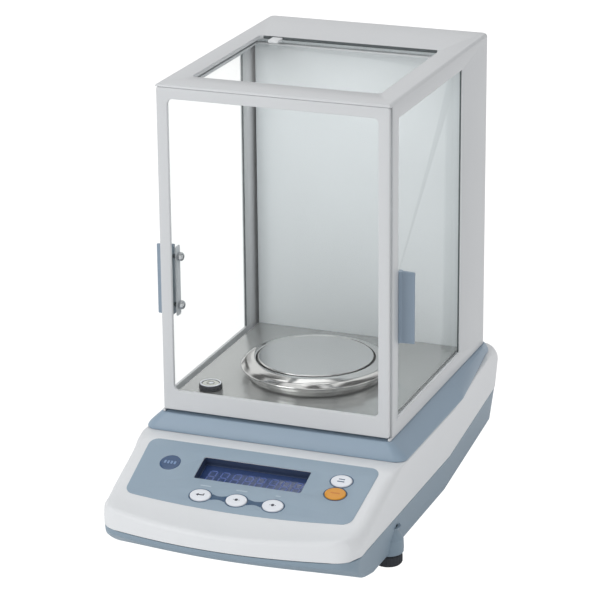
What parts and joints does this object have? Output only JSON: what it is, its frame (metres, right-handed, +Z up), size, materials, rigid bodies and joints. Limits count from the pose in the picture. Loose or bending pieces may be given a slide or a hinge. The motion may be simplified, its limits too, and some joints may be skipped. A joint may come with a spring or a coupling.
{
  "type": "analytical balance",
  "caption": "Console-style laboratory balance with a sloping keypad base, sliding glass draught shield, steel floor, draught ring and round weighing pan.",
  "frame": {"origin": "on the standing surface, under the middle of the base", "axes": "+Z up, the console faces -Y, +X to the right of someone reading the display"},
  "size_m": [0.208, 0.3885, 0.3484],
  "materials": {
    "white_shell": "fine moulded texture, satin",
    "shield_paint": "light grey satin paint",
    "blue_shell": "blue-grey moulded plastic, satin",
    "panel_blue": "blue-grey membrane, satin",
    "key_white": "white key cap, satin",
    "key_orange": "orange key cap, satin",
    "badge_blue": "dark blue, glossy",
    "display_blue": "dark blue filter over the display",
    "polished_steel": "finely turned and polished stainless steel",
    "chrome": "polished, mirror-like",
    "aluminium": "milled",
    "brass": "turned",
    "rubber": "matte black",
    "black_plastic": "moulded black",
    "board_green": "circuit board",
    "handle_blue": "blue-grey moulded plastic",
    "grey_plastic": "grey moulded plastic",
    "glass": "clear float glass, polished edges"
  },
  "bodies": {
    "base": {"base_tray": "blue_shell", "upper_housing": "white_shell", "plinth_cover": "blue_shell", "chassis_plate": "aluminium", "weigh_cell": "aluminium", "magnet_pot": "polished_steel", "main_circuit_board": "board_green", "keypad_board": "board_green", "display_module": "black_plastic", "serial_port": "aluminium", "power_inlet": "black_plastic", "keypad_overlay": "panel_blue", "display_window": "display_blue", "badge_disc": "badge_blue", "front_left_thread_insert": "brass", "front_right_thread_insert": "brass", "rear_left_foot": "rubber", "rear_right_foot": "rubber", "tray_screw_1": "polished_steel", "tray_screw_2": "polished_steel", "tray_screw_3": "polished_steel", "tray_screw_4": "polished_steel", "shield_base_frame": "shield_paint", "front_left_post": "shield_paint", "front_right_post": "shield_paint", "shield_top_frame": "shield_paint", "rear_column": "shield_paint", "chamber_back_panel": "shield_paint", "front_frame": "shield_paint", "front_glass": "glass", "top_door_clip": "white_shell", "floor_plate": "polished_steel", "level_vial_housing": "black_plastic", "level_vial_lens": "glass"},
    "left_door": {"left_door_glass": "glass", "left_door_handle": "handle_blue", "left_door_backplate": "grey_plastic", "left_handle_screw_1": "polished_steel", "left_handle_screw_2": "polished_steel"},
    "right_door": {"right_door_glass": "glass", "right_door_handle": "handle_blue", "right_door_backplate": "grey_plastic", "right_handle_screw_1": "polished_steel", "right_handle_screw_2": "polished_steel"},
    "top_door": {"top_door_glass": "glass"},
    "receiver": {"load_receiver": "polished_steel"},
    "pan": {"weighing_pan": "polished_steel"},
    "ring": {"draught_ring": "chrome"},
    "front_left_foot": {"front_left_levelling_foot": "rubber"},
    "front_right_foot": {"front_right_levelling_foot": "rubber"},
    "key_lower_left": {"lower_left_key": "key_white"},
    "key_lower_middle": {"lower_middle_key": "key_white"},
    "key_lower_right": {"lower_right_key": "key_white"},
    "key_upper_right": {"upper_right_key": "key_white"},
    "key_orange": {"orange_right_key": "key_orange"}
  },
  "joints": [
    {"name": "left_door_slide", "type": "slide", "parent": "base", "child": "left_door", "axis": [0, 1, 0], "range_m": [0, 0.125]},
    {"name": "right_door_slide", "type": "slide", "parent": "base", "child": "right_door", "axis": [0, 1, 0], "range_m": [0, 0.125]},
    {"name": "top_door_slide", "type": "slide", "parent": "base", "child": "top_door", "axis": [0, 1, 0], "range_m": [0, 0.12]},
    {"name": "receiver_sink", "type": "slide", "parent": "base", "child": "receiver", "axis": [0, 0, -1], "range_m": [0, 0.0005], "stiffness_N_per_m": 20000, "springref_m": -0.0003},
    {"name": "pan_lift", "type": "slide", "parent": "receiver", "child": "pan", "axis": [0, 0, 1], "range_m": [0, 0.05]},
    {"name": "ring_lift", "type": "slide", "parent": "base", "child": "ring", "axis": [0, 0, 1], "range_m": [0, 0.05]},
    {"name": "front_left_foot_turn", "type": "hinge", "parent": "base", "child": "front_left_foot", "pos_m": [-0.092, -0.0895, 0.017], "axis": [0, 0, 1], "continuous": true},
    {"name": "front_right_foot_turn", "type": "hinge", "parent": "base", "child": "front_right_foot", "pos_m": [0.092, -0.0895, 0.017], "axis": [0, 0, 1], "continuous": true},
    {"name": "lower_left_key_press", "type": "slide", "parent": "base", "child": "key_lower_left", "axis": [0, 0.3333, -0.9428], "range_m": [0, 0.0007], "stiffness_N_per_m": 600, "springref_m": -0.0005},
    {"name": "lower_middle_key_press", "type": "slide", "parent": "base", "child": "key_lower_middle", "axis": [0, 0.3333, -0.9428], "range_m": [0, 0.0007], "stiffness_N_per_m": 600, "springref_m": -0.0005},
    {"name": "lower_right_key_press", "type": "slide", "parent": "base", "child": "key_lower_right", "axis": [0, 0.3333, -0.9428], "range_m": [0, 0.0007], "stiffness_N_per_m": 600, "springref_m": -0.0005},
    {"name": "upper_right_key_press", "type": "slide", "parent": "base", "child": "key_upper_right", "axis": [0, 0.3333, -0.9428], "range_m": [0, 0.0007], "stiffness_N_per_m": 600, "springref_m": -0.0005},
    {"name": "orange_key_press", "type": "slide", "parent": "base", "child": "key_orange", "axis": [0, 0.3333, -0.9428], "range_m": [0, 0.0007], "stiffness_N_per_m": 600, "springref_m": -0.0005}
  ]
}
